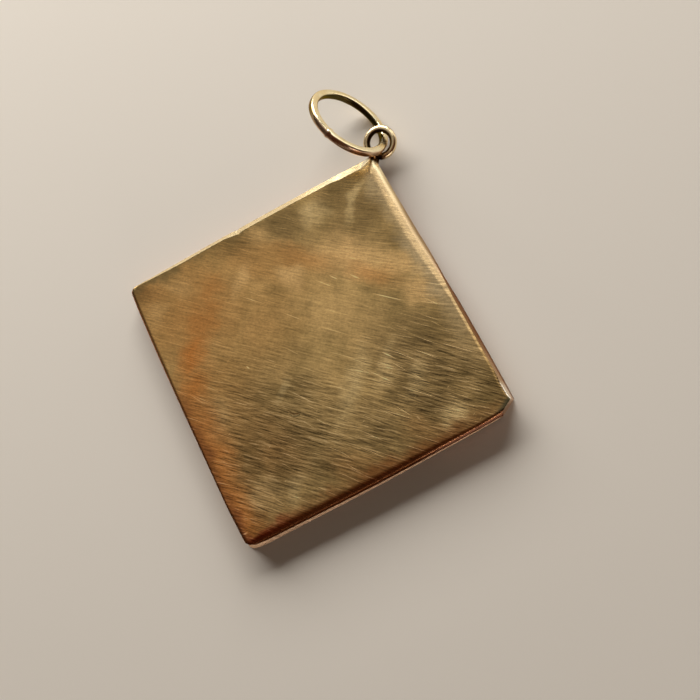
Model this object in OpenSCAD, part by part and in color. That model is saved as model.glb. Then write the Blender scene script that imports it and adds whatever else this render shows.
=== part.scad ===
// Square charm pendant, lying back up.
// The plaque's front rests on the plane z = 0 and the corner with the rings points to +Y.

/* [Plate] */
// Length of the side from the ring corner to the cut corner, and of the side across from it
long_side = 20.5; // [16:0.1:30]
// Length of the side from the ring corner to the left corner, and of the side across from it
short_side = 20; // [16:0.1:30]
// How far each side bows outward at its middle
side_bow = 0.12; // [0.06:0.01:0.3]
// Thickness of the plate
plate_t = 1.5; // [1.4:0.05:1.6]
// Radius of the soft shoulder around the back
shoulder_r = 0.6; // [0.3:0.05:0.6]
// Bevel that breaks the sharp edge around the front
front_bevel = 0.08; // [0.04:0.02:0.2]
// Radius of the left and bottom corners, seen from above
corner_r = 0.5; // [0.3:0.05:0.9]

/* [Cut corner] */
// How deep the cut goes into the corner, measured at the front
cut_depth = 0.5; // [0.2:0.01:0.5]
// Direction that the cut face looks in, from +X
cut_turn = -16; // [-20:1:20]
// How far the cut face leans inward towards the back
cut_lean = 3; // [0:1:13]

/* [Corner ring] */
// Outer diameter of the ring soldered to the top corner
corner_ring_d = 2.44; // [2.4:0.02:2.5]
// Thickness of its round wire
corner_wire_d = 0.5; // [0.46:0.02:0.5]
// How far the middle of the ring stands off to the right of the plate's corner
corner_ring_x = 0.18; // [0.1:0.02:0.24]
// How far it stands out beyond the corner
corner_ring_y = 1.08; // [1.06:0.01:1.1]
// Height of the middle of the ring
corner_ring_z = 0.95; // [0.93:0.01:0.97]
// How far the outer end of the ring is lifted
corner_ring_tilt = 19; // [17:1:21]
// Radius of the solder where it starts, inside the ring's wire
solder_tip_r = 0.2; // [0.16:0.01:0.22]
// Radius of the solder where it ends, inside the plate's corner
solder_root_r = 0.34; // [0.3:0.02:0.36]
// Length of the solder from the middle of the wire into the corner
solder_length = 0.9; // [0.8:0.05:1]

/* [Jump ring] */
// Outer diameter of the jump ring
jump_ring_d = 6.17; // [6.13:0.02:6.21]
// Width of its wire, from the eye outward
jump_wire_w = 0.5; // [0.44:0.02:0.5]
// Height of its wire, along the ring's axis
jump_wire_h = 0.5; // [0.44:0.02:0.5]
// Radius that softens the four edges of the wire
jump_edge_r = 0.14; // [0.1:0.02:0.18]
// Place of its middle to the right of the corner ring's middle
jump_ring_x = -2.2; // [-2.24:0.02:-2.16]
// Place of its middle beyond the corner ring's middle
jump_ring_y = 0.3; // [0.26:0.02:0.34]
// How steeply the ring stands up from the surface that it rests on
jump_ring_lean = 47.5; // [46.5:0.5:48.5]
// Direction in which the ring's open face looks, from +X
jump_ring_turn = 51; // [50:0.5:52]
// Height that the solder adds to the wire at the ring's closed seam
seam_swell = 0.03; // [0.01:0.01:0.05]
// Place of the seam around the ring
seam_turn = 198; // [190:1:220]
// Length of the seam around the ring, as an angle
seam_span = 9; // [4:1:20]

/* [Hidden] */
$fn = 64;
// Straight pieces along a bowed side, around a rounded corner and over the shoulder
bow_steps = 8;
corner_steps = 6;
shoulder_steps = 6;
// The plate's sides stand at half a right angle to the part's axes
plate_turn = -45;
// Where the shoulder has used up a corner's radius or its cut, this much is left
least_corner_r = 0.1;
least_cut = 0.02;
// The lowest edge of the jump ring hangs this far above the surface
floor_gap = 0.03;
half_long = long_side / 2;
half_short = short_side / 2;
// Where the sides would meet if no corner were softened: the ring corner in the part's directions,
// and the cut corner in the directions of the plate's sides
ring_corner = [(half_short - half_long) * cos(45), (half_short + half_long) * cos(45)];
full_cut_corner = [half_long, half_short];
corner_ring_place = ring_corner + [corner_ring_x, corner_ring_y];
jump_ring_z = floor_gap + (jump_ring_d / 2 - jump_edge_r) * sin(jump_ring_lean)
    + (jump_wire_h / 2 - jump_edge_r) * cos(jump_ring_lean) + jump_edge_r;

// Corner of the plate's square, drawn in by inset: the signs say which corner
function square_corner(sign_x, sign_y, inset) = [sign_x * (half_long - inset), sign_y * (half_short - inset)];

// Points between the ends of one side, bowed outward; outward is the side's own direction
function side_points(from, to, outward) = [
    for (step = [1 : bow_steps - 1])
        let (s = step / bow_steps)
            from + (to - from) * s + outward * side_bow * 4 * s * (1 - s)
];

// Points of a rounded corner, where first is the direction in which its arc begins
function round_corner(corner, first, inset) =
    let (radius = max(corner_r - inset, least_corner_r),
         middle = corner - radius * (first + quarter_turn(first)),
         start = atan2(first.y, first.x))
        [for (step = [0 : corner_steps])
            let (turn = start + 90 * step / corner_steps)
                middle + radius * [cos(turn), sin(turn)]];

function quarter_turn(v) = [-v.y, v.x];

// The two ends of the cut across the right corner, at the height z
function cut_ends(corner, z) =
    let (across = cut_turn - plate_turn,
         reach = full_cut_corner * [cos(across), sin(across)] - cut_depth - z * tan(cut_lean),
         lost = max(corner * [cos(across), sin(across)] - reach, least_cut))
        [[corner.x, corner.y - lost / sin(across)], [corner.x - lost / cos(across), corner.y]];

// The plate's outline, drawn in by inset, at the height z, in the directions of its sides
function outline(inset, z) =
    let (cut = square_corner(1, 1, inset),
         top = square_corner(-1, 1, inset),
         left = square_corner(-1, -1, inset),
         low = square_corner(1, -1, inset))
        concat(
            cut_ends(cut, z),
            side_points(cut, top, [0, 1]),
            [top],
            side_points(top, left, [-1, 0]),
            round_corner(left, [-1, 0], inset),
            side_points(left, low, [0, -1]),
            round_corner(low, [0, -1], inset),
            side_points(low, cut, [1, 0])
        );

// Section of the edge from the front up to the back, as pairs of inset and height
edge_section = concat(
    [[front_bevel, 0], [0, front_bevel]],
    [for (step = [0 : shoulder_steps])
        let (turn = 90 * step / shoulder_steps)
            [shoulder_r * (1 - cos(turn)), plate_t - shoulder_r + shoulder_r * sin(turn)]]
);

// The square plate with its four bowed sides, two rounded corners and one cut corner
module plate() {
    loops = [for (row = edge_section) [for (p = outline(row[0], row[1])) [p.x, p.y, row[1]]]];
    count = len(loops[0]);
    last = (len(loops) - 1) * count;
    front = [for (i = [0 : count - 1]) i];
    back = [for (i = [count - 1 : -1 : 0]) last + i];
    walls = [
        for (level = [0 : len(loops) - 2], i = [0 : count - 1])
            let (low = level * count, next = (i + 1) % count, high = low + count)
                each [[low + i, high + i, low + next], [low + next, high + i, high + next]]
    ];
    rotate([0, 0, plate_turn])
        polyhedron(points = [for (loop = loops) each loop], faces = concat([front, back], walls));
}

// The small ring of round wire on the top corner, its outer end lifted
module corner_ring() {
    translate([corner_ring_place.x, corner_ring_place.y, corner_ring_z])
        rotate([corner_ring_tilt, 0, 0])
            rotate_extrude()
                translate([(corner_ring_d - corner_wire_d) / 2, 0])
                    circle(d = corner_wire_d);
}

// The neck of solder that joins the ring's inner end to the corner
module solder() {
    inner_end = (corner_ring_d - corner_wire_d) / 2;
    translate([
        corner_ring_place.x,
        corner_ring_place.y - inner_end * cos(corner_ring_tilt),
        corner_ring_z - inner_end * sin(corner_ring_tilt),
    ])
        rotate([90, 0, 0])
            cylinder(r1 = solder_tip_r, r2 = solder_root_r, h = solder_length);
}

module plaque() {
    color("goldenrod") {
        plate();
        corner_ring();
        solder();
    }
}

// Square section with soft edges, centred on the wire
module wire_section(width, height) {
    square([width - 2 * jump_edge_r, height], center = true);
    square([width, height - 2 * jump_edge_r], center = true);
    for (side_x = [-1, 1], side_y = [-1, 1])
        translate([side_x * (width / 2 - jump_edge_r), side_y * (height / 2 - jump_edge_r)])
            circle(r = jump_edge_r);
}

module jump_ring() {
    wire_reach = (jump_ring_d - jump_wire_w) / 2;
    color("gold")
        translate([corner_ring_place.x + jump_ring_x, corner_ring_place.y + jump_ring_y, jump_ring_z])
            rotate([0, jump_ring_lean, jump_ring_turn]) {
                rotate_extrude()
                    translate([wire_reach, 0])
                        wire_section(jump_wire_w, jump_wire_h);
                rotate([0, 0, seam_turn - seam_span / 2])
                    rotate_extrude(angle = seam_span)
                        translate([wire_reach, 0])
                            wire_section(jump_wire_w + 2 * seam_swell, jump_wire_h + 2 * seam_swell);
            }
}

plaque();
jump_ring();
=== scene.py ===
"""Looks of the square charm pendant: its plate, rings, worn gold, light, floor and camera."""
import math

import bmesh
import bpy
import numpy as np
from mathutils import Matrix, Vector, noise


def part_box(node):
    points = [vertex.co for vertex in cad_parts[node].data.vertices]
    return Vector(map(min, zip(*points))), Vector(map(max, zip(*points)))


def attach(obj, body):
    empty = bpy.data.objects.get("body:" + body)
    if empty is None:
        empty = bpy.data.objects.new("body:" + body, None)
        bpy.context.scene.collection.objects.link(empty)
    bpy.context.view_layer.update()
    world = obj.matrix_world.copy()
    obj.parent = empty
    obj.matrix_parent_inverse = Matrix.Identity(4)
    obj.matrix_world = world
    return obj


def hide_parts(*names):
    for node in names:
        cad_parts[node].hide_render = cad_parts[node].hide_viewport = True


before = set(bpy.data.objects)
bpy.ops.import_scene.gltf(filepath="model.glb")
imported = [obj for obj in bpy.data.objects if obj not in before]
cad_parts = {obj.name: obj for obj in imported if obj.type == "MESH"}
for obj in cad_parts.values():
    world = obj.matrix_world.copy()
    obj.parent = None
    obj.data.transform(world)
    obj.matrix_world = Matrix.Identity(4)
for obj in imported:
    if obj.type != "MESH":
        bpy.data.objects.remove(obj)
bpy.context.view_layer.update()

MM = 0.001
QUARTER = math.pi / 2

# The plate, in millimetres, in the directions of its own sides: x runs from the ring corner to the cut one
HALF_LONG = 10.25
HALF_SHORT = 10.0
SIDE_BOW = 0.12
PLATE_T = 1.5
FRONT_BEVEL = 0.08
PLATE_TURN = math.radians(-45)
CUT_DEPTH = 0.5
CUT_TURN = math.radians(-16)
CUT_LEAN = math.radians(3)

# The edge, at places along the upper right side, the upper left, the lower left and the lower right one
# in turn: the share of the side, how far the wall stands in, the length of the leaning strip at the
# wall's foot, the length and lean of the chamfer over the wall, the width of the shoulder over that, and
# the angle from the wall that the shoulder starts with. Lengths are in millimetres and angles in degrees
EDGE_STATIONS = [
    [
        (0, -0.02, 0.05, 0.1, 30, 0.2, 46),
        (0.03, -0.06, 0, 0.36, 30, 0.22, 46),
        (0.07, -0.08, 0, 0.42, 30, 0.22, 46),
        (0.11, -0.08, 0, 0.40, 29, 0.2, 70),
        (0.40, -0.08, 0, 0.34, 30, 0.25, 70),
        (0.60, 0.02, 0, 0.14, 30, 0.9, 36),
        (0.68, 0.05, 0, 0.12, 32, 1.0, 36),
        (0.82, 0.05, 0, 0.12, 36, 1.0, 40),
        (0.97, 0.01, 0, 0.24, 46, 0.8, 46),
        (1, 0.04, 0, 0.40, 56, 0.2, 78),
    ],
    [
        (0, 0.04, 0, 0.40, 56, 0.2, 78),
        (0.03, 0.12, 0, 0.64, 61, 0.12, 79),
        (0.12, 0.13, 0, 0.62, 61, 0.12, 79),
        (0.16, 0.13, 0, 0.52, 60, 0.12, 79),
        (0.27, 0.13, 0, 0.52, 59.5, 0.12, 79),
        (0.31, 0.14, 0, 0.51, 55, 0.12, 79),
        (0.53, 0.14, 0, 0.50, 55, 0.12, 79),
        (0.556, 0.14, 0, 0.54, 57.5, 0.12, 79),
        (0.58, 0.14, 0, 0.50, 57.5, 0.12, 79),
        (0.61, 0.15, 0, 0.36, 53, 0.12, 79),
        (0.8, 0.15, 0, 0.34, 53, 0.12, 79),
        (0.9, 0.16, 0, 0.22, 52, 0.12, 78),
        (0.97, 0.17, 0, 0.10, 48, 0.12, 76),
        (1, 0.18, 0, 0, 30, 0.24, 42),
    ],
    [
        (0, 0.18, 0, 0, 30, 0.24, 42),
        (0.08, 0.12, 0, 0, 30, 0.30, 40),
        (0.35, 0.11, 0, 0, 30, 0.30, 41),
        (0.44, 0.13, 0, 0, 30, 0.24, 44),
        (0.64, 0.0, 0.26, 0, 30, 0.18, 50),
        (0.72, -0.03, 0.30, 0, 30, 0.16, 50),
        (0.85, -0.07, 0.32, 0, 30, 0.16, 50),
        (1, -0.02, 0.34, 0, 30, 0.3, 50),
    ],
    [
        (0, -0.02, 0.34, 0, 30, 0.3, 50),
        (0.07, -0.10, 0.32, 0, 30, 0.5, 50),
        (0.2, -0.07, 0.26, 0, 30, 0.55, 50),
        (0.5, -0.09, 0.17, 0, 30, 0.5, 50),
        (0.72, -0.06, 0.12, 0, 30, 0.4, 50),
        (0.85, -0.06, 0.10, 0, 30, 0.24, 50),
        (1, -0.02, 0.05, 0.1, 30, 0.2, 46),
    ],
]
# How many degrees the wall of each of these sides leans in towards the back, at shares of the side
WALL_LEANS = [
    [(0, 0), (0.03, 9), (0.07, 11), (0.40, 11), (0.60, 0), (1, 0)],
    [(0, 0), (1, 0)],
    [(0, 0), (1, 0)],
    [(0, 0), (1, 0)],
]
# How far the strip at the wall's foot leans in
STRIP_LEAN = math.radians(36)

# The cut corner, the ring corner, the left and the low one: on which side of the middle each stands, in
# the plate's directions, and its radius seen from above
CORNERS = [
    {"signs": (1, 1), "round": 0.02},
    {"signs": (-1, 1), "round": 0.05},
    {"signs": (-1, -1), "round": 0.5},
    {"signs": (1, -1), "round": 0.5},
]
# A corner's radius shrinks by this share of the inset, down to the least radius
ROUND_LOSS = 0.7
LEAST_ROUND = 0.02
# Angles in degrees over which a fold of the plate, and of the jump ring, is a sharp crease
PLATE_CREASE = 17
RING_CREASE = 60

# The curved nick in the back, in the plate's directions and millimetres: how quickly it fades towards its
# open side, and how far from that side it begins. The ding in the upper left side reaches inward and
# drops the edge
PIT = {"x": 3.42, "y": -2.94, "radius": 0.52, "width": 0.08, "depth": 0.03,
       "open": (-0.75, 0.66), "fade": 3, "gap": 1.4}
DING = {"y": -1.03, "length": 0.24, "depth": 0.06, "reach": 0.8, "drop": 0.6}
# Slight waves of the back: waves per millimetre in x and y, a number that picks the noise, and height
WAVES = [(0.16, 0.16, 3.1, 0.010), (0.45, 0.2, 7.7, 0.004)]

# Where a side's points stand closer: share of the side, width and how much closer. The first row is for the
# long sides, from the cut corner to the ring corner, and the second for the short sides
FINE_PLACES = [
    [((HALF_LONG - 3.80) / (2 * HALF_LONG), 0.025, 2.5)],
    [
        ((HALF_SHORT + 3.22) / (2 * HALF_SHORT), 0.03, 2.5),
        ((HALF_SHORT + 1.03) / (2 * HALF_SHORT), 0.02, 1.5),
    ],
]

# How closely a side's points stand: in its middle, how much closer at its ends, and how soon that fades
DENSITY = {"middle": 0.5, "ends": 1.2, "fade": 0.03}
# How finely the plate is divided: along a side, up the wall, the strip and the chamfer, and over the
# shoulder
SIDE_STEPS = 160
WALL_STEPS = 4
STRIP_STEPS = 4
CHAMFER_STEPS = 3
SHOULDER_STEPS = 18
# Steps from the edge in which the back's waves fade in
FADE_STEPS = 12

# The corner ring and its solder, whose surface ripples around it and along it
CORNER_RING = {"x": 0.003, "y": 15.4, "z": 0.95, "mid": 0.97, "wire": 0.25, "tilt": math.radians(19)}
SOLDER = {"tip": 0.2, "root": 0.36, "length": 0.9, "ripple": 0.05, "around": 3, "along": 5}
# How finely the rings and the solder are divided: around the wire and along it
CORNER_RING_STEPS = (40, 120)
SOLDER_STEPS = (40, 24)
JUMP_RING_STEPS = (48, 432)

# The jump ring: its middle is the middle of its box
JUMP_RING = {"reach": 2.835, "wide": 0.56, "high": 0.54, "edge": 0.17, "square": 3,
             "lean": math.radians(47.5), "turn": math.radians(51)}
SEAM = {"turn": math.radians(198), "span": math.radians(5), "swell": 0.045}


def rotate2(x, y, angle):
    """Turns plate directions into the part's directions."""
    return x * math.cos(angle) - y * math.sin(angle), x * math.sin(angle) + y * math.cos(angle)


def smooth(t):
    return t * t * (3 - 2 * t)


def side_fractions(side):
    """Places along a side, closer together near its ends and where a small mark needs a finer mesh."""
    fine = np.linspace(0, 1, 4001)
    at_ends = np.exp(-fine / DENSITY["fade"]) + np.exp(-(1 - fine) / DENSITY["fade"])
    density = DENSITY["middle"] + DENSITY["ends"] * at_ends
    for centre, width, extra in FINE_PLACES[side % 2]:
        density += extra * np.exp(-((fine - centre) / width) ** 2)
    total = np.concatenate([[0], np.cumsum((density[1:] + density[:-1]) / 2)])
    places = np.interp(np.linspace(0, total[-1], SIDE_STEPS + 1), total, fine)
    return places if side < 2 else 1 - places[::-1]


def edge_values(side, t):
    """The columns of the edge's table at the places t along one side."""
    rows = np.array(EDGE_STATIONS[side], float)
    return [np.interp(t, rows[:, 0], rows[:, k]) for k in range(1, rows.shape[1])]


def outline_points(side, t, inset):
    """Points of one side of the outline, drawn in by inset, with its end corners rounded."""
    start, end = CORNERS[side], CORNERS[(side + 1) % 4]
    size = np.array([HALF_LONG, HALF_SHORT])
    a, b = size * start["signs"], size * end["signs"]
    along = (b - a) / np.linalg.norm(b - a)
    outward = np.array([along[1], -along[0]])
    corner_a = a - np.array(start["signs"]) * inset[:, None]
    corner_b = b - np.array(end["signs"]) * inset[:, None]
    p = corner_a * (1 - t[:, None]) + corner_b * t[:, None]
    p += outward * (SIDE_BOW * 4 * t * (1 - t))[:, None]
    for corner, place, way in ((start, corner_a, along), (end, corner_b, -along)):
        radius = np.maximum(corner["round"] - ROUND_LOSS * inset, LEAST_ROUND)
        d = ((p - place) * way).sum(1)
        turn = math.radians(45) * (radius - d) / radius
        middle = place + radius[:, None] * (way - outward)
        arc = middle + radius[:, None] * (outward * np.cos(turn)[:, None] - way * np.sin(turn)[:, None])
        p = np.where((d < radius)[:, None], arc, p)
    return p


def cut_corner(p, z):
    """Draws points that lie beyond the cut face back onto it."""
    across = CUT_TURN - PLATE_TURN
    u = np.array([math.cos(across), math.sin(across)])
    reach = HALF_LONG * u[0] + HALF_SHORT * u[1] - CUT_DEPTH - z * math.tan(CUT_LEAN)
    beyond = np.maximum(p @ u - reach, 0)
    return p - beyond[:, None] * u


def edge_ring(level):
    """One loop around the plate: level(side, t) gives the inset and height of its points."""
    loop = []
    for side in range(4):
        t = side_fractions(side)[:-1]
        inset, z = level(side, t)
        p = cut_corner(outline_points(side, t, inset), z)
        loop.append(np.column_stack([p, z]))
    return np.vstack(loop)


def edge_profile(side, t, part, share):
    """Inset and height of a loop of the edge, where share says how far up the named part it lies."""
    wall_in, strip, chamfer, lean, width, start = edge_values(side, t)
    lean, first = np.radians(lean), np.radians(start)
    wall_lean = np.radians(np.interp(t, *zip(*WALL_LEANS[side])))
    rise = width * (1 - np.sin(first)) / np.cos(first)
    strip_in, strip_up = strip * math.sin(STRIP_LEAN), strip * math.cos(STRIP_LEAN)
    chamfer_in, chamfer_up = chamfer * np.sin(lean), chamfer * np.cos(lean)
    foot = FRONT_BEVEL + strip_up
    brow = PLATE_T - rise - chamfer_up
    if part == "front":
        return wall_in + FRONT_BEVEL, np.zeros_like(t)
    if part == "strip":
        return wall_in + strip_in * share, FRONT_BEVEL + strip_up * share
    wall_in = wall_in + strip_in
    if part == "wall":
        return wall_in + (brow - foot) * np.tan(wall_lean) * share, foot + (brow - foot) * share
    wall_in = wall_in + (brow - foot) * np.tan(wall_lean)
    if part == "chamfer":
        return wall_in + chamfer_in * share, brow + chamfer_up * share
    turn = first + (QUARTER - first) * share
    radius = width / np.cos(first)
    return wall_in + chamfer_in + width - radius * np.cos(turn), PLATE_T - radius * (1 - np.sin(turn))


def clamp(value):
    return min(max(value, 0), 1)


def face_height(x, y):
    """Slight waves of the hand-finished back and the curved nick in it, in millimetres."""
    waves = 0
    for per_x, per_y, seed, high in WAVES:
        waves += high * noise.noise(Vector((x * per_x, y * per_y, seed)))
    dx, dy = x - PIT["x"], y - PIT["y"]
    away = math.hypot(dx, dy)
    facing = (dx * PIT["open"][0] + dy * PIT["open"][1]) / max(away, 0.01)
    closed = smooth(clamp(-PIT["fade"] * facing - PIT["gap"]))
    groove = math.exp(-((away - PIT["radius"]) / PIT["width"]) ** 2) * closed
    return waves - PIT["depth"] * groove


def press_ding(x, y, z):
    """Presses the ding into the edge of the upper left side."""
    along = (y - DING["y"]) / (DING["length"] / 2)
    outward = smooth(clamp((-x - HALF_LONG + DING["reach"]) / DING["reach"]))
    upward = smooth(clamp(z / PLATE_T * 2 - 1))
    deep = DING["depth"] * math.exp(-along * along) * outward * upward
    return x + deep, z - DING["drop"] * deep


def edge_rows():
    """The loops of the edge from the front up: a part of the edge, and the share of it below the loop."""
    rows = [("front", 0)] + [("strip", k / STRIP_STEPS) for k in range(STRIP_STEPS + 1)]
    for part, steps in (("wall", WALL_STEPS), ("chamfer", CHAMFER_STEPS), ("shoulder", SHOULDER_STEPS)):
        rows += [(part, k / steps) for k in range(1, steps + 1)]
    return rows


def back_grid(last):
    """Points of the back, stretched between the four sides of the edge's last loop."""
    n = SIDE_STEPS
    top = last[0:n + 1]
    left = last[n:2 * n + 1]
    low = last[2 * n:3 * n + 1]
    right = np.vstack([last[3 * n:], last[:1]])
    grid = np.zeros((n + 1, n + 1, 3))
    for i, a in enumerate(side_fractions(0)):
        for j, b in enumerate(side_fractions(1)):
            grid[i, j] = (
                top[i] * (1 - b) + low[n - i] * b
                + right[n - j] * (1 - a) + left[j] * a
                - top[0] * (1 - a) * (1 - b) - top[n] * a * (1 - b)
                - low[n] * (1 - a) * b - low[0] * a * b
            )
    return grid


def border_place(i, j):
    """Which point of the edge's last loop a point of the back's grid is, or None inside the border."""
    n = SIDE_STEPS
    if j == 0:
        return i
    if i == n:
        return n + j
    if j == n:
        return 3 * n - i
    if i == 0:
        return (4 * n - j) % (4 * n)
    return None


def plate_mesh():
    """The plate as one closed mesh: front, bevel, wall, shoulder and back."""
    n = SIDE_STEPS
    count = 4 * n
    loops = [edge_ring(lambda side, t: edge_profile(side, t, part, share)) for part, share in edge_rows()]
    verts = [tuple(point) for loop in loops for point in loop]
    base = len(verts) - count
    grid = back_grid(loops[-1])
    index = np.zeros((n + 1, n + 1), int)
    for i in range(n + 1):
        for j in range(n + 1):
            border = border_place(i, j)
            if border is not None:
                index[i, j] = base + border
                continue
            index[i, j] = len(verts)
            x, y, z = grid[i, j]
            fade = smooth(clamp(min(i, j, n - i, n - j) / FADE_STEPS))
            verts.append((x, y, z + face_height(x, y) * fade))
    faces = []
    for low in range(0, base, count):
        for i in range(count):
            k = (i + 1) % count
            faces.append((low + i, low + k, low + count + k, low + count + i))
    for i in range(n):
        for j in range(n):
            faces.append((index[i, j], index[i + 1, j], index[i + 1, j + 1], index[i, j + 1]))
    faces.append(tuple(reversed(range(count))))
    placed = []
    for x, y, z in verts:
        x, z = press_ding(x, y, z)
        px, py = rotate2(x, y, PLATE_TURN)
        placed.append((px * MM, py * MM, z * MM))
    return placed, [tuple(int(v) for v in f) for f in faces]


def new_piece(name, verts, faces):
    mesh = bpy.data.meshes.new(name)
    mesh.from_pydata(verts, [], faces)
    mesh.validate()
    bm = bmesh.new()
    bm.from_mesh(mesh)
    bmesh.ops.recalc_face_normals(bm, faces=bm.faces)
    bm.to_mesh(mesh)
    bm.free()
    piece = bpy.data.objects.new(name, mesh)
    bpy.context.scene.collection.objects.link(piece)
    return piece


def tube_mesh(centre_of, section_of, around, along, closed=True):
    """A tube: centre_of(s) gives its middle and two directions across it, section_of(s, w) the offsets."""
    verts, faces = [], []
    rows = along if closed else along + 1
    for a in range(rows):
        s = a / along
        middle, across, up = centre_of(s)
        for b in range(around):
            dx, dy = section_of(s, 2 * math.pi * b / around)
            verts.append(tuple((middle + across * dx + up * dy) * MM))
    for a in range(along):
        for b in range(around):
            a2, b2 = (a + 1) % rows, (b + 1) % around
            faces.append((a * around + b, a2 * around + b, a2 * around + b2, a * around + b2))
    if not closed:
        faces.append(tuple(range(around)))
        faces.append(tuple(reversed(range(along * around, (along + 1) * around))))
    return verts, faces


def corner_ring_piece():
    c = CORNER_RING
    middle = Vector((c["x"], c["y"], c["z"]))
    lift = Vector((0, math.cos(c["tilt"]), math.sin(c["tilt"])))
    axis = Vector((0, -math.sin(c["tilt"]), math.cos(c["tilt"])))

    def centre_of(s):
        w = 2 * math.pi * s
        out = Vector((1, 0, 0)) * math.cos(w) + lift * math.sin(w)
        return middle + out * c["mid"], out, axis

    def section_of(s, w):
        radius = c["wire"]
        return radius * math.cos(w), radius * math.sin(w)

    return new_piece("corner_ring_part", *tube_mesh(centre_of, section_of, *CORNER_RING_STEPS))


def solder_piece():
    c = CORNER_RING
    back, down = c["mid"] * math.cos(c["tilt"]), c["mid"] * math.sin(c["tilt"])
    start = Vector((c["x"], c["y"] - back, c["z"] - down))

    def centre_of(s):
        return start + Vector((0, -SOLDER["length"] * s, 0)), Vector((1, 0, 0)), Vector((0, 0, 1))

    def section_of(s, w):
        radius = SOLDER["tip"] + (SOLDER["root"] - SOLDER["tip"]) * s
        radius *= 1 + SOLDER["ripple"] * math.sin(SOLDER["around"] * w + SOLDER["along"] * s)
        return radius * math.cos(w), radius * math.sin(w)

    return new_piece("solder_part", *tube_mesh(centre_of, section_of, *SOLDER_STEPS, closed=False))


def fuse(target, *others):
    """Joins solids that cross each other into one closed mesh."""
    for other in others:
        step = target.modifiers.new("fuse", "BOOLEAN")
        step.operation = "UNION"
        step.solver = "EXACT"
        step.object = other
        bpy.context.view_layer.update()
        fused = bpy.data.meshes.new_from_object(target.evaluated_get(bpy.context.evaluated_depsgraph_get()))
        target.modifiers.clear()
        target.data = fused
        bpy.data.objects.remove(other)
    return target


def finish_shading(piece, sharp_over):
    """Smooth shading, with a crease where two faces meet at more than sharp_over degrees."""
    piece.data.shade_smooth()
    piece.data.set_sharp_from_angle(angle=math.radians(sharp_over))


def jump_ring_piece():
    low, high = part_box("jump_ring")
    middle = (low + high) / 2 / MM
    lean, turn = JUMP_RING["lean"], JUMP_RING["turn"]
    ax = Vector((math.cos(lean) * math.cos(turn), math.cos(lean) * math.sin(turn), -math.sin(lean)))
    ay = Vector((-math.sin(turn), math.cos(turn), 0))
    axis = ax.cross(ay)

    def centre_of(s):
        w = 2 * math.pi * s
        out = ax * math.cos(w) + ay * math.sin(w)
        return middle + out * JUMP_RING["reach"], out, axis

    def section_of(s, w):
        flat_x = JUMP_RING["wide"] / 2 - JUMP_RING["edge"]
        flat_y = JUMP_RING["high"] / 2 - JUMP_RING["edge"]
        # a square with round edges: the corner circle's middle moves with the quadrant
        x = flat_x * max(-1, min(1, JUMP_RING["square"] * math.cos(w))) + JUMP_RING["edge"] * math.cos(w)
        y = flat_y * max(-1, min(1, JUMP_RING["square"] * math.sin(w))) + JUMP_RING["edge"] * math.sin(w)
        away = (2 * math.pi * s - SEAM["turn"]) / (SEAM["span"] / 2)
        swell = SEAM["swell"] * math.exp(-away * away)
        grow = 1 + swell / (JUMP_RING["wide"] / 2)
        return x * grow, y * grow

    return new_piece("jump_ring_worn", *tube_mesh(centre_of, section_of, *JUMP_RING_STEPS))


class Nodes:
    """A short way to write a material's nodes."""

    def __init__(self, tree):
        self.tree = tree

    def new(self, kind, **settings):
        node = self.tree.nodes.new(kind)
        for key, value in settings.items():
            setattr(node, key, value)
        return node

    def put(self, socket, value):
        if isinstance(value, bpy.types.NodeSocket):
            self.tree.links.new(value, socket)
        else:
            socket.default_value = value

    def math(self, operation, a, b=0.0, c=0.0, clamp=False):
        node = self.new("ShaderNodeMath", operation=operation, use_clamp=clamp)
        for socket, value in zip(node.inputs, (a, b, c)):
            self.put(socket, value)
        return node.outputs[0]

    def scaled(self, vector, scale, shift=(0, 0, 0)):
        node = self.new("ShaderNodeMapping", vector_type="POINT")
        self.put(node.inputs["Vector"], vector)
        node.inputs["Location"].default_value = shift
        node.inputs["Scale"].default_value = scale
        return node.outputs[0]

    def millimetres(self):
        """The place on the part, in millimetres."""
        return self.scaled(self.new("ShaderNodeTexCoord").outputs["Object"], (1 / MM, 1 / MM, 1 / MM))

    def vector(self, operation, *values, output="Vector"):
        node = self.new("ShaderNodeVectorMath", operation=operation)
        for socket, value in zip(node.inputs, values):
            self.put(socket, value)
        return node.outputs[output]

    def measure(self, operation, *values):
        """A number got from vectors, such as a length."""
        return self.vector(operation, *values, output="Value")

    def parts(self, vector):
        node = self.new("ShaderNodeSeparateXYZ")
        self.put(node.inputs[0], vector)
        return node.outputs

    def noise(self, vector, scale=1.0, detail=2.0, rough=0.5):
        node = self.new("ShaderNodeTexNoise")
        self.put(node.inputs["Vector"], vector)
        node.inputs["Scale"].default_value = scale
        node.inputs["Detail"].default_value = detail
        node.inputs["Roughness"].default_value = rough
        return node

    def ramp(self, value, low, high, to_low=0.0, to_high=1.0, kind="SMOOTHSTEP"):
        node = self.new("ShaderNodeMapRange", interpolation_type=kind)
        for socket, v in zip(node.inputs, (value, low, high, to_low, to_high)):
            self.put(socket, v)
        return node.outputs[0]

    def mix(self, share, a, b, kind="MIX"):
        # inputs 6 and 7 and output 2 are those for colours
        node = self.new("ShaderNodeMix", data_type="RGBA", blend_type=kind)
        self.put(node.inputs[0], share)
        self.put(node.inputs[6], a)
        self.put(node.inputs[7], b)
        return node.outputs[2]


def new_material(name):
    material = bpy.data.materials.new(name)
    material.use_nodes = True
    nodes = Nodes(material.node_tree)
    shader = material.node_tree.nodes["Principled BSDF"]
    shader.inputs["Metallic"].default_value = 1.0
    return material, nodes, shader


# The bare gold of the back, from its dull patches to its bright ones
DULL_GOLD = (0.42, 0.28, 0.105, 1)
BRIGHT_GOLD = (0.70, 0.46, 0.18, 1)
# A spot is full up to the first share of its half-width and has faded away at the second
SPOT_EDGE = (0.1, 1.7)
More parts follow.
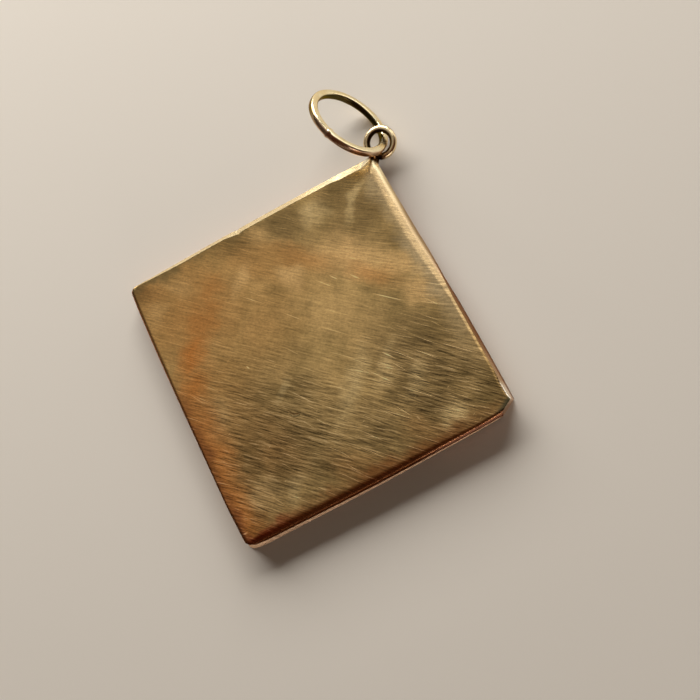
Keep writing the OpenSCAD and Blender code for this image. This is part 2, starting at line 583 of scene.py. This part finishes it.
# Soft noise moves the spots' outlines about, by up to half the spread in millimetres
DRIFT = {"scale": 0.6, "spread": 2.0}
# Tints of the back, laid one over the other, partly the worn gold's own uneven tone and partly painted
# reflections, bright and dark, that stand in for the uneven back mirroring its surroundings: colour, and
# spots with their place, half-width and half-height in millimetres, and strength
TINTS_AND_SHEEN = [
    ((0.56, 0.285, 0.09), [
        (-9.0, 0.0, 4.6, 4.6, 0.9), (-5.5, -5.5, 3.5, 4.0, 0.8), (-4.0, 0.0, 3.0, 5.0, 0.5),
        (-6.0, 4.5, 4.5, 2.2, 0.7),
    ]),
    ((0.33, 0.218, 0.092), [
        (7.6, 1.5, 4.2, 3.6, 0.85), (9.0, -1.5, 3.5, 2.6, 0.8), (6.0, -4.2, 3.2, 2.6, 0.6),
        (0.8, -6.5, 4.6, 4.6, 0.7), (-4.8, 7.5, 3.6, 1.8, 0.6), (0.0, 9.8, 2.8, 2.8, 0.6),
    ]),
    ((0.95, 0.60, 0.25), [
        (0.8, 6.6, 2.4, 1.6, 0.95), (3.8, 6.9, 2.4, 0.8, 0.7), (-2.9, 4.2, 1.0, 0.8, 0.8),
        (-5.9, 6.5, 0.9, 0.6, 0.4), (6.0, 5.6, 1.2, 0.9, 0.7), (-6.2, 2.8, 0.5, 1.2, 0.5),
        (1.2, 2.5, 2.8, 1.8, 0.25), (-10.7, 1.5, 1.2, 0.6, 0.3), (-11.4, -1.2, 0.6, 0.8, 0.3),
    ]),
    ((0.80, 0.58, 0.27), [
        (-2.9, 9.1, 0.9, 1.0, 0.9), (-0.4, 10.8, 0.3, 1.7, 0.8), (0.4, 12.8, 0.8, 0.9, 0.9),
        (3.7, -2.2, 0.6, 2.4, 0.6), (5.4, 0.0, 0.5, 1.6, 0.4), (7.6, -0.3, 0.5, 1.3, 0.5),
        (10.6, -1.9, 0.7, 0.9, 0.7), (0.2, -10.5, 1.3, 1.1, 0.5), (2.2, -9.6, 0.5, 1.0, 0.5),
        (-0.9, -3.8, 0.25, 0.8, 0.6), (-4.6, -7.0, 0.8, 1.6, 0.3),
    ]),
    ((0.62, 0.235, 0.055), [
        (-7.9, -0.6, 0.9, 1.6, 0.6), (-7.8, -3.2, 0.9, 1.6, 0.9), (-7.0, -5.2, 0.9, 1.5, 0.8),
        (-8.2, 1.7, 0.8, 0.9, 0.4), (2.6, 5.7, 1.9, 0.8, 0.45), (-2.4, 5.7, 2.6, 0.8, 0.35),
    ]),
    ((0.36, 0.175, 0.055), [
        (-5.6, -6.9, 1.3, 0.9, 0.6), (-0.5, -10.8, 2.2, 1.6, 0.5), (-1.0, -8.0, 3.0, 2.4, 0.6),
        (0.4, -12.3, 1.8, 1.2, 0.8), (5.6, -7.2, 2.2, 1.2, 0.7), (-12.9, 0.1, 1.3, 1.2, 0.7),
        (9.0, -3.6, 1.4, 0.8, 0.5),
    ]),
]
# Tarnish lies over the tints: its colour, and how much of it the dark and the light marks leave
TARNISH = (0.165, 0.104, 0.038, 1)
TARNISH_LEFT = (0.88, 0.42)
TARNISH_SPOTS = [
    (-1.9, 11.0, 1.2, 1.6, 0.75), (0.9, 10.2, 1.0, 2.2, 0.7), (-4.9, 7.9, 1.4, 1.3, 0.75),
    (-7.6, 5.3, 1.5, 1.1, 0.75), (-1.0, 8.2, 1.1, 1.0, 0.55), (3.5, 8.6, 1.6, 1.0, 0.75),
    (12.3, 0.6, 1.6, 1.7, 0.95), (10.9, 1.3, 1.3, 1.1, 0.75), (8.9, -1.7, 0.9, 1.1, 0.9),
    (13.1, -0.1, 1.2, 1.6, 1.0), (6.6, -1.0, 0.7, 1.5, 0.55), (0.3, -3.3, 1.3, 1.2, 0.65),
    (-2.5, -4.3, 1.5, 1.4, 0.6), (1.5, -6.1, 1.5, 1.1, 0.65), (-1.4, -8.3, 0.9, 1.9, 0.8),
    (0.9, -8.9, 1.1, 1.3, 0.8), (3.4, -7.9, 1.1, 1.2, 0.7), (6.5, -4.8, 1.5, 1.1, 0.65),
    (8.4, -4.6, 1.4, 0.9, 0.6), (-13.3, 0.0, 1.1, 0.8, 0.6), (4.5, -5.6, 0.9, 0.9, 0.4),
    (7.4, 2.6, 2.6, 1.6, 0.35), (9.6, 0.4, 1.6, 1.4, 0.55), (-0.5, -5.8, 2.8, 2.4, 0.3),
    (-0.8, 7.6, 1.0, 0.6, 0.4), (5.8, -7.2, 1.4, 0.9, 0.5), (0.3, -12.4, 1.4, 1.0, 0.5),
]

# The directions that the plate's sides face, as the photograph shows them
UPPER_RIGHT = (0.707, 0.707)
UPPER_LEFT = (-0.707, 0.707)
LOWER_LEFT = (-0.707, -0.707)
LOWER_RIGHT = (0.707, -0.707)
# Painted light in bands along the sides: painted ruddy and dark reflections and painted shade inside the
# lower edges and the upper left one, and a painted cream highlight inside the upper right one. Direction
# across the band, where it starts and is full, direction along it, where it starts and is full, colour and
# strength
SHADE_AND_REFLECTION_BANDS = [
    (LOWER_LEFT, 7.3, 9.3, LOWER_RIGHT, -3.5, 3.0, (0.60, 0.235, 0.06, 1), 0.9),
    (LOWER_LEFT, 8.9, 10.0, LOWER_RIGHT, 5.5, 9.5, (0.34, 0.085, 0.03, 1), 0.85),
    (LOWER_RIGHT, 8.9, 10.1, LOWER_LEFT, -11.0, -5.0, (0.27, 0.115, 0.036, 1), 0.95),
    (LOWER_RIGHT, 9.2, 9.7, LOWER_LEFT, 5.0, 8.5, (0.30, 0.07, 0.025, 1), 0.9),
    (UPPER_RIGHT, 8.0, 9.4, UPPER_LEFT, -8.5, 1.5, (0.62, 0.46, 0.25, 1), 0.92),
    (UPPER_LEFT, 9.2, 10.0, LOWER_LEFT, -2.0, 1.0, (0.22, 0.15, 0.06, 1), 0.8),
    (LOWER_LEFT, 9.0, 9.9, LOWER_RIGHT, -3.0, 1.0, (0.30, 0.11, 0.035, 1), 0.85),
]

# Colours of the edge, painted reflections that stand for the light and surroundings each side mirrors: the
# pale one, which paints the edge's highlights, then those of single sides, ruddy or dark where a side
# mirrors shade and whitish where it paints a glint, with the direction that the side faces, the direction
# along it, and where in that direction the colour starts and is full
PALE_EDGE_HIGHLIGHT = (0.95, 0.82, 0.53, 1)
EDGE_REFLECTION_TINTS = [
    (UPPER_RIGHT, LOWER_RIGHT, -9.3, -7.6, (0.72, 0.56, 0.33, 1)),
    (UPPER_RIGHT, LOWER_RIGHT, -6.8, -4.8, (0.52, 0.38, 0.22, 1)),
    (UPPER_RIGHT, LOWER_RIGHT, -2.0, 0.0, (0.37, 0.24, 0.15, 1)),
    (UPPER_RIGHT, LOWER_RIGHT, 5.0, 7.5, (0.62, 0.46, 0.30, 1)),
    (UPPER_RIGHT, LOWER_RIGHT, 8.2, 9.0, (1.0, 0.94, 0.82, 1)),
    (UPPER_LEFT, UPPER_RIGHT, 3.0, 6.5, (1.0, 0.96, 0.74, 1)),
    (LOWER_LEFT, UPPER_LEFT, -20.0, -19.0, (0.46, 0.20, 0.09, 1)),
    (LOWER_RIGHT, UPPER_RIGHT, -20.0, -19.0, (0.95, 0.45, 0.22, 1)),
    (LOWER_RIGHT, LOWER_LEFT, -4.5, -2.0, (0.30, 0.11, 0.04, 1)),
]
# The wall is painted dark as painted shade, and redder on the lower right towards the cut corner as a
# painted ruddy reflection, in this direction between these distances from the middle. The cut face and the
# strip at the wall's foot are painted bright, as painted reflections of the lit floor
SHADED_WALL = (0.16, 0.048, 0.016, 1)
RUDDY_WALL_REFLECTION = (1.0, 0.58, 0.42, 1)
RED_PLACE = (UPPER_RIGHT, 2.5, 6.0)
WALL_SHARE = 0.9
CUT_FACE_SHEEN = (1.0, 0.82, 0.66, 1)
STRIP_SHEEN = (1.0, 0.70, 0.46, 1)
# Painted shade: a dark line runs along the crease inside the pale upper left edge
CREASE_SHADE = (0.12, 0.09, 0.042, 1)
CREASE_SHARE = 0.8
# The back gets dark towards the cut face, in this direction between these distances from the middle
CUT_FACING = (math.cos(CUT_TURN), math.sin(CUT_TURN))
CUT_SHADE_PLACE = (12.8, 13.15)
CUT_SHADE = (0.06, 0.062, 0.038, 1)
CUT_SHADE_SHARE = 0.85
# How the gold darkens and reddens where it is seen at a flat angle, and how the cut face does
GRAZING = (0.65, 0.40, 0.27, 1)
CUT_GRAZING = (1.0, 0.86, 0.74, 1)

# The corner ring's gold outside and the painted shade in its eye, and the painted shade at the neck: its
# colour, and a spot with its place, half-width, half-height and strength
LOOP_OUTSIDE = (0.95, 0.78, 0.48, 1)
LOOP_EYE_SHADE = (0.10, 0.062, 0.022, 1)
NECK_SHADE = (0.06, 0.026, 0.009, 1)
NECK_SHADE_SPOT = (-0.05, 14.32, 0.50, 0.46, 2.2)


def spots(nodes, place, table):
    """How much of a tint there is at a place on the back."""
    total = 0.0
    for x, y, half_x, half_y, strength in table:
        offset = nodes.vector("SUBTRACT", place, (x, y, 0))
        shrunk = nodes.vector("MULTIPLY", offset, (1 / half_x, 1 / half_y, 0))
        near = nodes.ramp(nodes.measure("LENGTH", shrunk), *SPOT_EDGE, strength, 0.0)
        total = nodes.math("MAXIMUM", total, near)
    return total


# Layers of scratches on the back: angle from the part's X direction, length and spacing in millimetres of
# the cells that each hold one scratch, share of its cell that a scratch fills, and how much it lightens
# the metal
SCRATCHES = [
    (4, 8.0, 0.13, 0.20, 0.42),
    (-1, 7.0, 0.15, 0.20, -0.40),
    (6, 10.0, 0.22, 0.15, 0.75),
    (0, 16.0, 0.29, 0.12, 1.0),
    (-6, 13.0, 0.33, 0.09, 1.1),
    (13, 7.0, 0.20, 0.14, 0.5),
    (-14, 13.0, 0.43, 0.07, 0.9),
    (70, 5.0, 1.3, 0.03, 0.6),
]
# Fine lines that cover the back: angle, lines per millimetre along and across, and strength
FINE_LINES = [
    (5, 0.50, 8.0, 0.22),
    (-2, 0.60, 11.0, 0.28),
    (13, 0.60, 6.5, 0.14),
    (4, 0.30, 3.0, 0.08),
]
# Single scratches that stand out, and painted glints drawn the same way: place of the middle, length and
# width in millimetres, angle and strength. The rows at (-3.72, -2.82), (8.47, -2.85) and (-0.17, -13.33) are
# painted glints, and the two at about (0.4, -4.96) paint the highlight on the curved nick
SCRATCHES_AND_GLINTS = [
    (4.07, 4.45, 2.9, 0.11, 1.5, 0.9), (4.55, 4.46, 1.6, 0.10, 1.5, 0.9),
    (5.33, 0.62, 1.5, 0.12, -10, 1.0), (-0.44, 4.23, 2.0, 0.11, -6, 0.5),
    (0.02, 4.82, 1.0, 0.12, -12, 0.7), (1.46, 5.25, 1.1, 0.12, -9, 0.6),
    (-3.72, -2.82, 0.4, 0.14, -16, 0.9), (-5.03, 1.78, 2.8, 0.10, -2, 0.5),
    (-1.85, 1.42, 1.9, 0.10, -5, 0.5), (1.35, 1.23, 2.8, 0.10, -1, 0.5), (2.48, -0.24, 2.7, 0.10, 1, 0.6),
    (-2.35, -1.93, 1.2, 0.10, -4, 0.6), (-1.03, -0.92, 1.7, 0.10, -10, 0.5),
    (5.27, -0.91, 2.7, 0.11, -10, 0.6), (0.59, -3.71, 2.6, 0.11, -10, 0.7),
    (7.62, -0.23, 1.3, 0.10, -14, 0.6), (8.47, -2.85, 0.45, 0.16, -22, 0.6),
    (-0.17, -13.33, 0.50, 0.16, 40, 1.0), (0.16, -4.95, 0.70, 0.15, -20, 0.35),
    (0.56, -4.97, 0.60, 0.15, 24, 0.35),
]
# Where the grain is coarse and stands out, in the manner of the tints
COARSE_SPOTS = [
    (8.8, -0.8, 4.6, 3.8, 1.35), (1.2, -6.4, 6.4, 4.2, 0.95), (-0.6, -10.2, 4.0, 4.0, 1.0),
    (6.4, -5.0, 4.0, 3.0, 0.9), (-4.6, -5.6, 3.0, 3.0, 0.55), (6.8, 5.4, 2.4, 2.4, 0.35),
]
# The scratches bow a little, by millimetres. Towards the ring corner, in this direction between these
# distances from the middle, they get steeper
BOW = {"scale": 0.12, "height": 0.2}
STEEP_PLACE = ((0.3, 0.95), 5.5, 10.0)
STEEPER = -0.14
# A scratch is full up to this share of its half-width
SCRATCH_CORE = 0.2
# How much a single scratch of strength 1 lightens the metal
SINGLE_GAIN = 1.4
# The number that picks where the first layer's scratches lie
FIRST_SEED = 1.37
# The grain's contrast where it is finest, the mean of the light it gives and the least
GRAIN = {"contrast": 0.42, "mean": 0.97, "least": 0.3}
# Speckles that break the grain up, and how much lighter or darker they are
SPECKLE = {"scale": 7.0, "strength": 0.16}
# The brightest lines are paler than the gold around them
PALE_SCRATCH = (0.55, 0.42, 0.26, 1)
PALE_SHARE = 0.30
# Roughness from the dark of the grain to its brightest lines, how much rougher the wall is, and how deep
# in metres the grain is
ROUGHNESS = (0.27, 0.21)
WALL_ROUGHER = 0.24
BUMP_DEPTH = 0.00001


def scratch_layer(nodes, place, length, spacing, fill, seed):
    """Separate thin scratches of one direction: 1 in the middle of a scratch and 0 beside it."""
    stretched = nodes.scaled(place, (1 / length, 1 / spacing, 1), shift=(seed, 3 * seed, 0))
    cells = nodes.new("ShaderNodeTexVoronoi", voronoi_dimensions="2D", feature="F1")
    nodes.put(cells.inputs["Vector"], stretched)
    cells.inputs["Scale"].default_value = 1.0
    body = nodes.ramp(cells.outputs["Distance"], fill * SCRATCH_CORE, fill, 1.0, 0.0)
    # a part of the cell's random colour makes some scratches weaker than others
    split = nodes.new("ShaderNodeSeparateColor")
    nodes.put(split.inputs[0], cells.outputs["Color"])
    return nodes.math("MULTIPLY", body, split.outputs[0])


def standout_scratches_and_glints(nodes, place):
    """The scratches that stand out and the painted glints, each a long thin ellipse."""
    total = 0.0
    for x, y, length, width, angle, strength in SCRATCHES_AND_GLINTS:
        node = nodes.new("ShaderNodeMapping", vector_type="TEXTURE")
        nodes.put(node.inputs["Vector"], place)
        node.inputs["Location"].default_value = (x, y, 0)
        node.inputs["Rotation"].default_value = (0, 0, math.radians(angle))
        # at every height alike, so the third size is far larger than the charm
        node.inputs["Scale"].default_value = (length / 2, width / 2, 1000)
        away = nodes.measure("LENGTH", node.outputs[0])
        near = nodes.ramp(away, SCRATCH_CORE, 1.0, SINGLE_GAIN * strength, 0.0)
        total = nodes.math("MAXIMUM", total, near)
    return total


def reach(nodes, vector, direction, low, high):
    """0 where the vector reaches up to low in a direction across the back, and 1 where it reaches high."""
    return nodes.ramp(nodes.measure("DOT_PRODUCT", vector, (*direction, 0)), low, high)


def turned(nodes, place, angle):
    """The same places, measured in directions turned by an angle in degrees."""
    node = nodes.new("ShaderNodeVectorRotate", rotation_type="Z_AXIS")
    nodes.put(node.inputs["Vector"], place)
    node.inputs["Angle"].default_value = math.radians(-angle)
    return node.outputs[0]


def drifting(nodes, mm):
    """Places moved about by soft noise, so that what is laid at them has uneven outlines."""
    bend = nodes.noise(mm, scale=DRIFT["scale"], detail=3.0).outputs["Color"]
    moved = nodes.vector("MULTIPLY_ADD", bend, (DRIFT["spread"],) * 3, mm)
    return nodes.vector("SUBTRACT", moved, (DRIFT["spread"] / 2,) * 3)


def brush_marks(nodes, mm):
    """The scratches and fine lines of the back: above 0 where they are light, below 0 where dark."""
    bow = nodes.noise(mm, scale=BOW["scale"], detail=1.0).outputs["Color"]
    bent = nodes.vector("MULTIPLY_ADD", bow, (0, BOW["height"], 0), mm)
    steeper = nodes.math("MULTIPLY", reach(nodes, mm, *STEEP_PLACE), nodes.parts(mm)["X"])
    lifted = nodes.new("ShaderNodeCombineXYZ")
    nodes.put(lifted.inputs["Y"], nodes.math("MULTIPLY", steeper, STEEPER))
    hand = nodes.vector("ADD", bent, lifted.outputs[0])
    marks = 0.0
    for number, (angle, length, spacing, fill, strength) in enumerate(SCRATCHES):
        layer = scratch_layer(nodes, turned(nodes, hand, angle), length, spacing, fill, number + FIRST_SEED)
        marks = nodes.math("MULTIPLY_ADD", layer, strength, marks)
    for angle, along, across, strength in FINE_LINES:
        stretched = nodes.scaled(turned(nodes, hand, angle), (along, across, 2))
        fine = nodes.noise(stretched, detail=2.0).outputs["Fac"]
        marks = nodes.math("ADD", marks, nodes.ramp(fine, 0.34, 0.66, -strength, strength, kind="LINEAR"))
    return marks


def back_colour(nodes, mm, place, marks):
    """The gold of the back with its tints and painted reflections, its tarnish, and the bands of painted
    reflection, shade and highlight along its sides.
    """
    patchy = nodes.noise(nodes.scaled(mm, (0.6, 0.45, 0.4)), detail=4.0, rough=0.6).outputs["Fac"]
    uneven = nodes.ramp(patchy, 0.3, 0.6, 0.7, 1.0, kind="LINEAR")
    colour = nodes.mix(nodes.ramp(patchy, 0.3, 0.7), DULL_GOLD, BRIGHT_GOLD)
    # tints that are partly the gold's own tone and partly painted reflections
    for tint, table in TINTS_AND_SHEEN:
        share = nodes.math("MULTIPLY", spots(nodes, place, table), uneven)
        colour = nodes.mix(share, colour, (*tint, 1))
    tarnish = spots(nodes, place, TARNISH_SPOTS)
    cut_through = nodes.ramp(marks, -0.4, 0.8, *TARNISH_LEFT, kind="LINEAR")
    colour = nodes.mix(nodes.math("MULTIPLY", tarnish, cut_through, clamp=True), colour, TARNISH)
    # the bands paint reflections, shade and a highlight along the sides
    for across, low, high, along, start, full, tint, strength in SHADE_AND_REFLECTION_BANDS:
        share = nodes.math("MULTIPLY", reach(nodes, place, across, low, high), strength)
        share = nodes.math("MULTIPLY", share, reach(nodes, place, along, start, full))
        colour = nodes.mix(share, colour, tint)
    return colour


def grain_light(nodes, mm, place, marks):
    """How light the grain makes the metal, around 1."""
    contrast = nodes.math("ADD", spots(nodes, place, COARSE_SPOTS), GRAIN["contrast"])
    light = nodes.math("MULTIPLY_ADD", marks, contrast, GRAIN["mean"])
    light = nodes.math("MAXIMUM", light, GRAIN["least"])
    speckle = nodes.noise(mm, scale=SPECKLE["scale"], detail=2.0, rough=0.7).outputs["Fac"]
    strength = SPECKLE["strength"]
    light = nodes.math("ADD", light, nodes.ramp(speckle, 0.3, 0.7, -strength, strength, kind="LINEAR"))
    # the standout scratches, with painted glints among them
    return nodes.math("ADD", light, standout_scratches_and_glints(nodes, mm))


def painted_edge_colour(nodes, mm, normal):
    """The edge's colours, painted highlights and reflections which differ from side to side."""
    edge = PALE_EDGE_HIGHLIGHT
    for facing, along, low, high, tint in EDGE_REFLECTION_TINTS:
        share = reach(nodes, normal, facing, 0.25, 0.6)
        share = nodes.math("MULTIPLY", share, reach(nodes, mm, along, low, high))
        edge = nodes.mix(share, edge, tint)
    return edge


def with_sides(nodes, mm, normal, face):
    """The face's colour with the sides' painted highlights, reflections and shade around it, how much is
    wall, and how much isn't cut face.
    """
    slope, place = nodes.parts(normal), nodes.parts(mm)
    beside_cut = nodes.math("MULTIPLY", reach(nodes, mm, CUT_FACING, *CUT_SHADE_PLACE), CUT_SHADE_SHARE)
    face = nodes.mix(beside_cut, face, CUT_SHADE)
    # the edge gets its painted highlights and reflections
    colour = nodes.mix(nodes.ramp(slope["Z"], 0.95, 0.75), face, painted_edge_colour(nodes, mm, normal))
    uncut = nodes.ramp(slope["X"], 0.9, 0.96, 1.0, 0.0)
    wall = nodes.math("MULTIPLY", nodes.ramp(slope["Z"], 0.35, 0.1), uncut)
    # the wall gets painted shade, redder on the lower right as a painted reflection, and the cut face and
    # the strip get painted reflections
    redder = reach(nodes, mm, *RED_PLACE)
    redder = nodes.math("MULTIPLY", redder, reach(nodes, normal, LOWER_RIGHT, 0.3, 0.6))
    redder = nodes.math("MULTIPLY", redder, nodes.ramp(place["Z"], 0.35, 0.7))
    wall_shade = nodes.mix(redder, SHADED_WALL, RUDDY_WALL_REFLECTION)
    colour = nodes.mix(nodes.math("MULTIPLY", wall, WALL_SHARE), colour, wall_shade)
    colour = nodes.mix(uncut, CUT_FACE_SHEEN, colour)
    leaning = nodes.math("MULTIPLY", nodes.ramp(slope["Z"], 0.3, 0.5), uncut)
    strip = nodes.math("MULTIPLY", leaning, nodes.ramp(place["Z"], 0.6, 0.5))
    colour = nodes.mix(strip, colour, STRIP_SHEEN)
    # painted shade along the crease inside the upper left edge
    crease = reach(nodes, normal, UPPER_LEFT, 0.05, 0.13)
    crease = nodes.math("MULTIPLY", crease, nodes.ramp(slope["Z"], 0.90, 0.96))
    colour = nodes.mix(nodes.math("MULTIPLY", crease, CREASE_SHARE), colour, CREASE_SHADE)
    return colour, wall, uncut


def with_corner_ring(nodes, mm, normal, colour):
    """The plate's colour, and beyond its corner that of the ring, with painted shade inside it and at its
    neck.
    """
    away = nodes.vector("SUBTRACT", mm, (CORNER_RING["x"], CORNER_RING["y"], CORNER_RING["z"]))
    outward = nodes.measure("DOT_PRODUCT", away, normal)
    # painted shade in the ring's eye and at its neck
    loop = nodes.mix(nodes.ramp(outward, 0.2, -0.15), LOOP_OUTSIDE, LOOP_EYE_SHADE)
    colour = nodes.mix(nodes.ramp(nodes.parts(mm)["Y"], 14.25, 14.4), colour, loop)
    return nodes.mix(spots(nodes, mm, [NECK_SHADE_SPOT]), colour, NECK_SHADE)


def brushed_gold():
    """Worn yellow gold, brushed along the part's X direction, with tints, tarnish, and painted highlights,
    reflections and shade.
    """
    material, nodes, shader = new_material("brushed_gold")
    mm = nodes.millimetres()
    normal = nodes.new("ShaderNodeNewGeometry").outputs["Normal"]
    place = drifting(nodes, mm)
    marks = brush_marks(nodes, mm)
    light = grain_light(nodes, mm, place, marks)
    colour = back_colour(nodes, mm, place, marks)
    colour = nodes.mix(nodes.ramp(light, 1.15, 2.0, 0.0, PALE_SHARE), colour, PALE_SCRATCH)
    scratched = nodes.new("ShaderNodeVectorMath", operation="SCALE")
    nodes.put(scratched.inputs[0], colour)
    nodes.put(scratched.inputs["Scale"], light)
    colour, wall, uncut = with_sides(nodes, mm, normal, scratched.outputs[0])
    nodes.put(shader.inputs["Base Color"], with_corner_ring(nodes, mm, normal, colour))
    nodes.put(shader.inputs["Specular Tint"], nodes.mix(uncut, CUT_GRAZING, GRAZING))
    rough = nodes.ramp(light, 0.6, 1.5, *ROUGHNESS, kind="LINEAR")
    nodes.put(shader.inputs["Roughness"], nodes.math("MULTIPLY_ADD", wall, WALL_ROUGHER, rough))

    bump = nodes.new("ShaderNodeBump")
    bump.inputs["Strength"].default_value = 0.4
    bump.inputs["Distance"].default_value = BUMP_DEPTH
    nodes.put(bump.inputs["Height"], light)
    nodes.put(shader.inputs["Normal"], bump.outputs[0])
    return material


# The jump ring's gold, the painted shade inside it, its outside from a dark painted shade at one end to a
# ruddy painted reflection of the lit floor at the other, the direction towards the ruddy end and where along
# it the ruddy colour starts and is full, and how the ring darkens and reddens at a flat angle
RING_GOLD = [(0.95, 0.80, 0.48, 1), (1.0, 0.90, 0.62, 1)]
RING_INSIDE_SHADE = (0.10, 0.08, 0.028, 1)
RING_OUTSIDE_SHADE_AND_REFLECTION = [(0.24, 0.175, 0.07, 1), (0.72, 0.50, 0.34, 1)]
RING_RUDDY_PLACE = ((0.6, -0.8), -14.8, -12.8)
RING_GRAZING = (0.70, 0.55, 0.36, 1)


def ring_gold():
    """Polished yellow gold with soft wear, with painted shade and painted reflections on the walls around
    the ring and inside it.
    """
    material, nodes, shader = new_material("ring_gold")
    shader.inputs["Specular Tint"].default_value = RING_GRAZING
    mm = nodes.millimetres()
    wear = nodes.noise(mm, scale=1.6, detail=3.0).outputs["Fac"]
    colour = nodes.mix(nodes.ramp(wear, 0.35, 0.65), *RING_GOLD)
    low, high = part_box("jump_ring")
    away = nodes.vector("SUBTRACT", mm, (low + high) / 2 / MM)
    outward = nodes.measure("DOT_PRODUCT", away, nodes.new("ShaderNodeNewGeometry").outputs["Normal"])
    # painted shade inside the ring, and painted shade and reflection on its outside
    colour = nodes.mix(nodes.ramp(outward, -1.2, -2.2), colour, RING_INSIDE_SHADE)
    outside = nodes.mix(reach(nodes, mm, *RING_RUDDY_PLACE), *RING_OUTSIDE_SHADE_AND_REFLECTION)
    colour = nodes.mix(nodes.ramp(outward, 1.9, 2.7), colour, outside)
    nodes.put(shader.inputs["Base Color"], colour)
    nodes.put(shader.inputs["Roughness"], nodes.ramp(wear, 0.3, 0.7, 0.26, 0.20, kind="LINEAR"))
    return material


# The floor: its colour, half its width, and how far it lies below the charm, in metres
FLOOR_COLOUR = (0.80, 0.75, 0.68, 1)
FLOOR_HALF = 0.6
FLOOR_DROP = 0.00001


def floor_material():
    material, nodes, shader = new_material("pale_floor")
    shader.inputs["Metallic"].default_value = 0.0
    shader.inputs["Roughness"].default_value = 0.9
    shader.inputs["Specular IOR Level"].default_value = 0.1
    shader.inputs["Base Color"].default_value = FLOOR_COLOUR
    return material


def make_floor():
    half, drop = FLOOR_HALF, FLOOR_DROP
    mesh = bpy.data.meshes.new("floor")
    corners = [(-half, -half, -drop), (half, -half, -drop), (half, half, -drop), (-half, half, -drop)]
    mesh.from_pydata(corners, [], [(0, 1, 2, 3)])
    floor = bpy.data.objects.new("floor", mesh)
    bpy.context.scene.collection.objects.link(floor)
    mesh.materials.append(floor_material())


def area_light(name, azimuth, elevation, distance, width, height, radiance, colour,
               diffuse=True, glossy=True):
    """A softbox that faces the charm. Azimuth is from +X towards +Y."""
    az, el = math.radians(azimuth), math.radians(elevation)
    direction = Vector((math.cos(el) * math.cos(az), math.cos(el) * math.sin(az), math.sin(el)))
    data = bpy.data.lights.new(name, "AREA")
    data.shape = "RECTANGLE"
    data.size = width
    data.size_y = height
    data.color = colour
    data.energy = radiance * math.pi * width * height
    light = bpy.data.objects.new(name, data)
    bpy.context.scene.collection.objects.link(light)
    light.location = direction * distance
    light.rotation_euler = direction.to_track_quat("Z", "Y").to_euler()
    light.visible_diffuse = diffuse
    light.visible_glossy = glossy


# The room's light, from the dark side up to overhead: nearness to the brightest direction, and colour
BRIGHTEST = (-0.30, 0.22, 0.93)
ROOM_LIGHT = [
    (0.62, (0.055, 0.040, 0.030, 1)),
    (0.80, (0.085, 0.062, 0.046, 1)),
    (0.93, (0.23, 0.20, 0.175, 1)),
    (0.975, (0.42, 0.40, 0.37, 1)),
    (0.995, (0.52, 0.50, 0.47, 1)),
]
# The photographer's side is darker and ruddy
DARK_SIDE = (0.643, -0.766, 0)
DARK_TINT = (1.0, 0.50, 0.30, 1)


def make_world():
    """Soft light from overhead, with a darker side."""
    world = bpy.data.worlds.new("studio")
    bpy.context.scene.world = world
    world.use_nodes = True
    nodes = Nodes(world.node_tree)
    direction = nodes.new("ShaderNodeTexCoord").outputs["Generated"]

    def nearness(to):
        dot = nodes.measure("DOT_PRODUCT", direction, Vector(to).normalized())
        return nodes.math("MULTIPLY_ADD", dot, 0.5, 0.5)

    ramp = nodes.new("ShaderNodeValToRGB")
    nodes.put(ramp.inputs[0], nearness(BRIGHTEST))
    stops = ramp.color_ramp.elements
    while len(stops) < len(ROOM_LIGHT):
        stops.new(0.5)
    for stop, (place, colour) in zip(stops, ROOM_LIGHT):
        stop.position = place
        stop.color = colour
    shade = nodes.mix(nodes.ramp(nearness(DARK_SIDE), 0.5, 0.8), (1, 1, 1, 1), DARK_TINT)
    light = nodes.mix(1.0, ramp.outputs[0], shade, kind="MULTIPLY")
    nodes.put(world.node_tree.nodes["Background"].inputs["Color"], light)
    # the floor is lit by the lamps alone, which keeps the charm's shadow deep
    world.cycles_visibility.diffuse = False


def make_lights():
    """Azimuth and elevation in degrees, distance, width and height in metres, radiance and colour."""
    area_light("window", 128, 24, 0.28, 0.36, 0.14, 9.8, (1.0, 0.97, 0.92))
    area_light("back", 60, 10, 0.3, 0.18, 0.10, 1.5, (1.0, 0.97, 0.92))
    area_light("upper", 68, 42, 0.3, 0.13, 0.30, 1.05, (1.0, 0.95, 0.88), diffuse=False)
    area_light("fill", -60, 70, 0.5, 0.40, 0.40, 0.45, (1.0, 0.72, 0.52), glossy=False)
    area_light("card", -45, 6, 0.4, 0.20, 0.14, 2.6, (1.0, 0.90, 0.82))


# The camera's place, in millimetres in the part's frame, its directions, and its lens in millimetres
CAMERA_PLACE = (15.739, -9.249, 56.172)
CAMERA_RIGHT = (0.93747, 0.30344, -0.1705)
CAMERA_BACK = (0.2284, -0.16667, 0.95919)
CAMERA_LENS = 43.714


def make_camera():
    right = Vector(CAMERA_RIGHT).normalized()
    back = Vector(CAMERA_BACK)
    back = (back - right * back.dot(right)).normalized()
    up = back.cross(right)
    data = bpy.data.cameras.new("camera")
    data.lens = CAMERA_LENS
    data.sensor_width = 36
    data.clip_start = 0.001
    data.clip_end = 5
    camera = bpy.data.objects.new("camera", data)
    turn = Matrix((right, up, back)).transposed().to_4x4()
    camera.matrix_world = Matrix.Translation(Vector(CAMERA_PLACE) * MM) @ turn
    bpy.context.scene.collection.objects.link(camera)
    bpy.context.scene.camera = camera


def make_charm():
    plaque = new_piece("plaque_worn", *plate_mesh())
    fuse(plaque, corner_ring_piece(), solder_piece())
    finish_shading(plaque, PLATE_CREASE)
    plaque.data.materials.clear()
    plaque.data.materials.append(brushed_gold())
    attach(plaque, "root")
    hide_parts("plaque")

    ring = jump_ring_piece()
    finish_shading(ring, RING_CREASE)
    ring.data.materials.append(ring_gold())
    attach(ring, "root")
    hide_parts("jump_ring")


bpy.context.scene.view_settings.view_transform = "Standard"
make_camera()
make_world()
make_lights()
make_floor()
make_charm()
